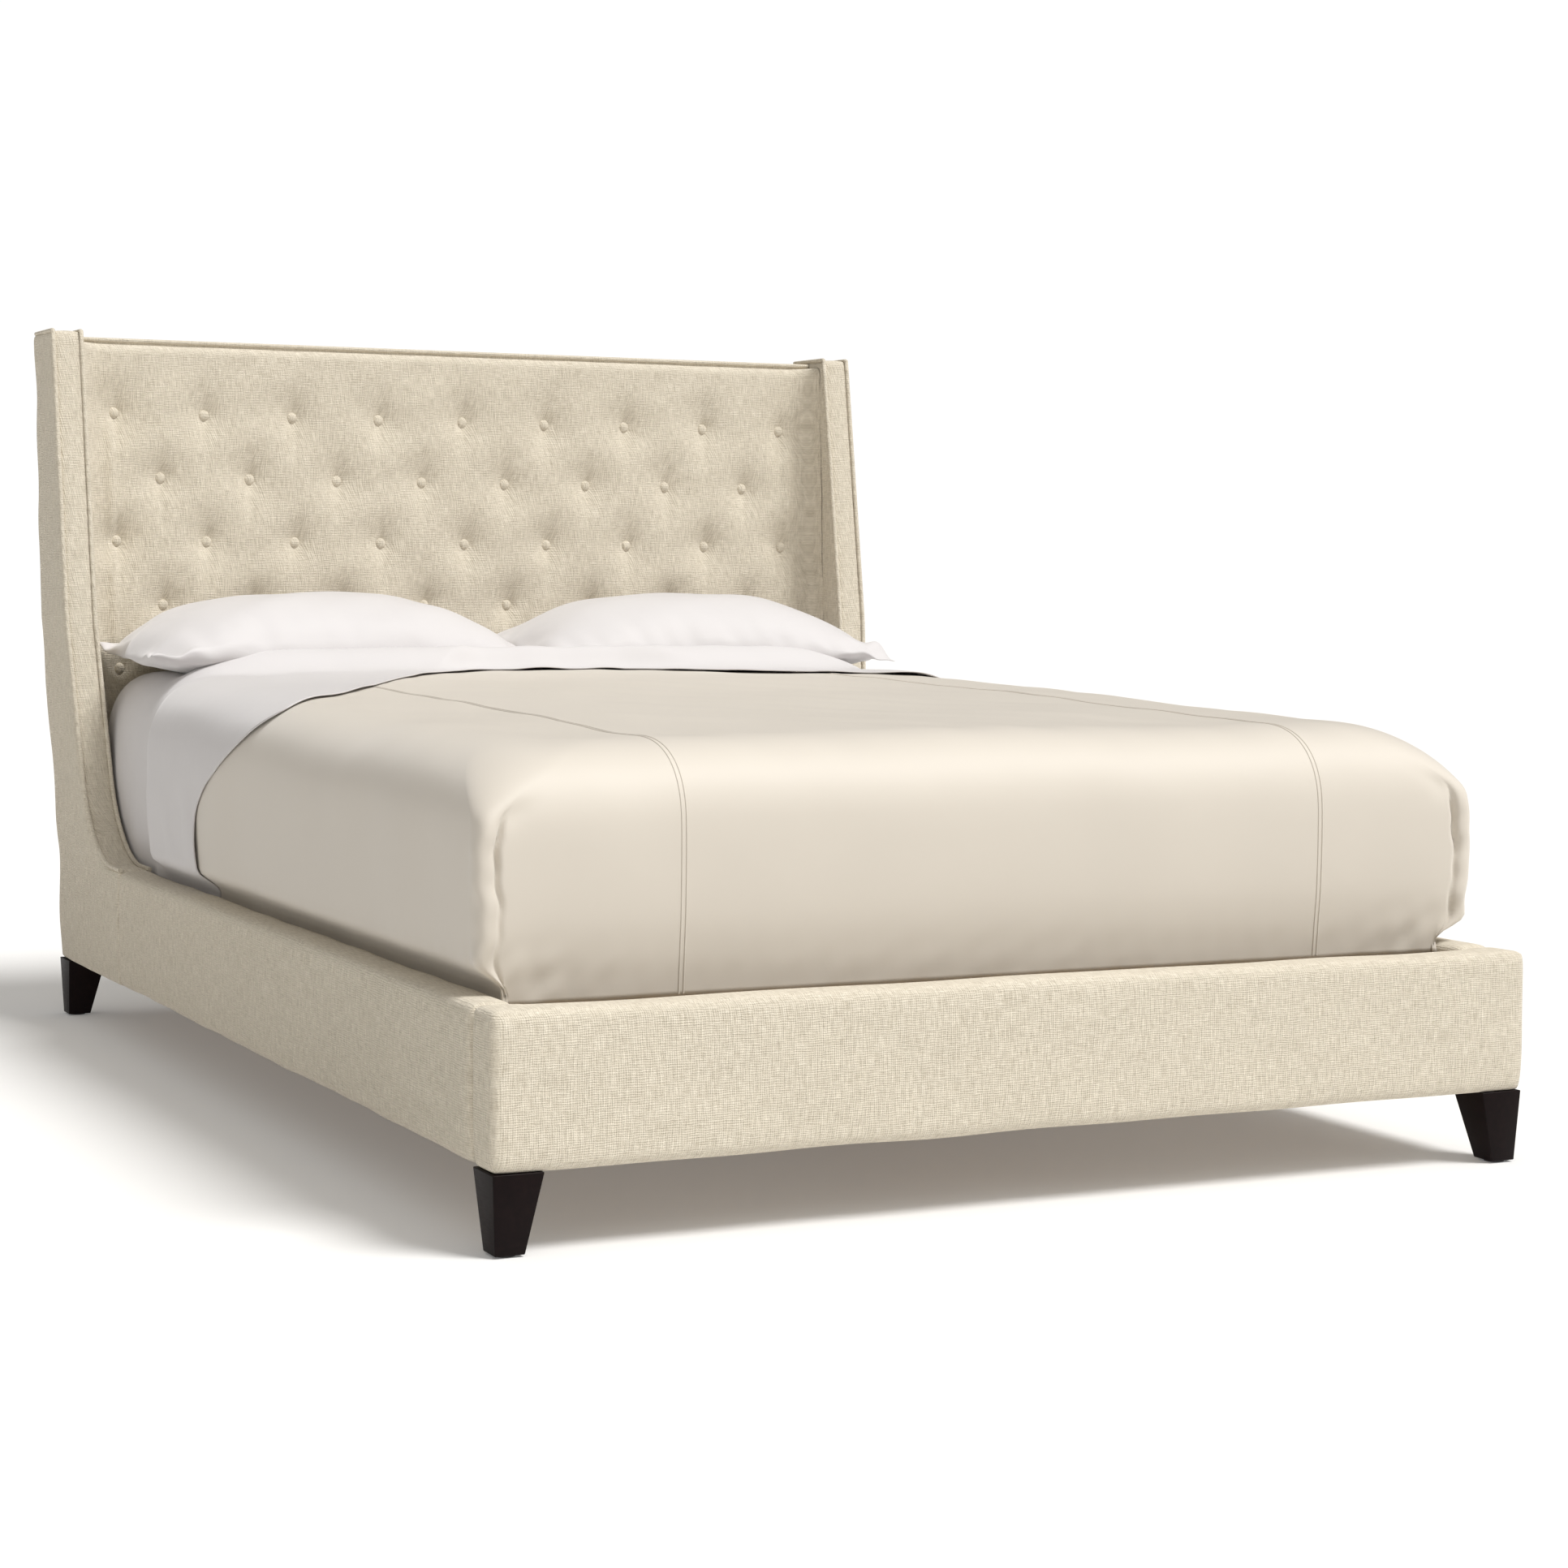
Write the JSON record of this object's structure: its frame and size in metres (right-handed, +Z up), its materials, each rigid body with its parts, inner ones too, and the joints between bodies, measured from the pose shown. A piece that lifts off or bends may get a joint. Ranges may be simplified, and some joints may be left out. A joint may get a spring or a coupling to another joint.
{
  "type": "upholstered bed",
  "caption": "Upholstered wing bed with a button-tufted headboard, padded rails on tapered dark legs, and made-up bedding with pillows.",
  "frame": {"origin": "middle of the bed's bounding box, on the floor", "axes": "+Y from the foot to the headboard, +X to the right seen from the foot, +Z up"},
  "size_m": [1.708, 2.391, 1.316],
  "materials": {
    "linen": "slubbed plain weave, matte",
    "plywood": "raw",
    "pine": "raw",
    "steel": "zinc plated",
    "dark_wood": "espresso stain, satin",
    "nylon": "moulded",
    "ticking": "woven, matte",
    "white_cotton": "percale, soft sheen",
    "coverlet_cotton": "sateen, soft sheen",
    "filling": "cotton ticking"
  },
  "bodies": {
    "bed": {"headboard_back_cover": "linen", "headboard_panel": "plywood", "headboard_post_left": "pine", "headboard_post_right": "pine", "headboard_bottom_rail": "pine", "headboard_middle_rail": "pine", "headboard_top_rail": "pine", "headboard_tufted_pad": "linen", "headboard_top_welt": "linen", "tufting_buttons": "linen", "headboard_bolts": "steel", "wing_core_left": "plywood", "wing_core_right": "plywood", "wing_cover_left": "linen", "wing_cover_right": "linen", "wing_outer_welt_left": "linen", "wing_outer_welt_right": "linen", "wing_inner_welt_left": "linen", "wing_inner_welt_right": "linen", "side_rail_left": "pine", "side_rail_right": "pine", "side_rail_cover_left": "linen", "side_rail_cover_right": "linen", "slat_ledger_left": "pine", "slat_ledger_right": "pine", "foot_board": "pine", "foot_cover": "linen", "bed_bolts": "steel", "barrel_nuts": "steel", "joint_plates": "steel", "joint_screws": "steel", "centre_beam": "pine", "beam_hangers": "steel", "slats": "pine", "support_leg_foot": "pine", "support_leg_middle": "pine", "support_leg_head": "pine", "leg_foot_left": "dark_wood", "leg_foot_right": "dark_wood", "leg_head_left": "dark_wood", "leg_head_right": "dark_wood", "leg_studs": "steel", "leg_glides": "nylon", "foundation_frame": "pine", "foundation_cover": "ticking", "mattress": "ticking", "fitted_sheet": "white_cotton", "flat_sheet": "white_cotton", "coverlet": "coverlet_cotton"},
    "leveller_foot": {"leveller_foot": "nylon"},
    "leveller_middle": {"leveller_middle": "nylon"},
    "leveller_head": {"leveller_head": "nylon"},
    "pillow_left": {"pillow_left": "filling", "pillow_case_left": "white_cotton"},
    "pillow_right": {"pillow_right": "filling", "pillow_case_right": "white_cotton"}
  },
  "joints": [
    {"name": "leveller_foot_screw", "type": "slide", "parent": "bed", "child": "leveller_foot", "axis": [0, 0, 1], "range_m": [-0.01, 0.02]},
    {"name": "leveller_middle_screw", "type": "slide", "parent": "bed", "child": "leveller_middle", "axis": [0, 0, 1], "range_m": [-0.01, 0.02]},
    {"name": "leveller_head_screw", "type": "slide", "parent": "bed", "child": "leveller_head", "axis": [0, 0, 1], "range_m": [-0.01, 0.02]},
    {"name": "pillow_left_lift", "type": "slide", "parent": "bed", "child": "pillow_left", "axis": [0, 0, 1], "range_m": [0, 0.3]},
    {"name": "pillow_right_lift", "type": "slide", "parent": "bed", "child": "pillow_right", "axis": [0, 0, 1], "range_m": [0, 0.3]}
  ]
}
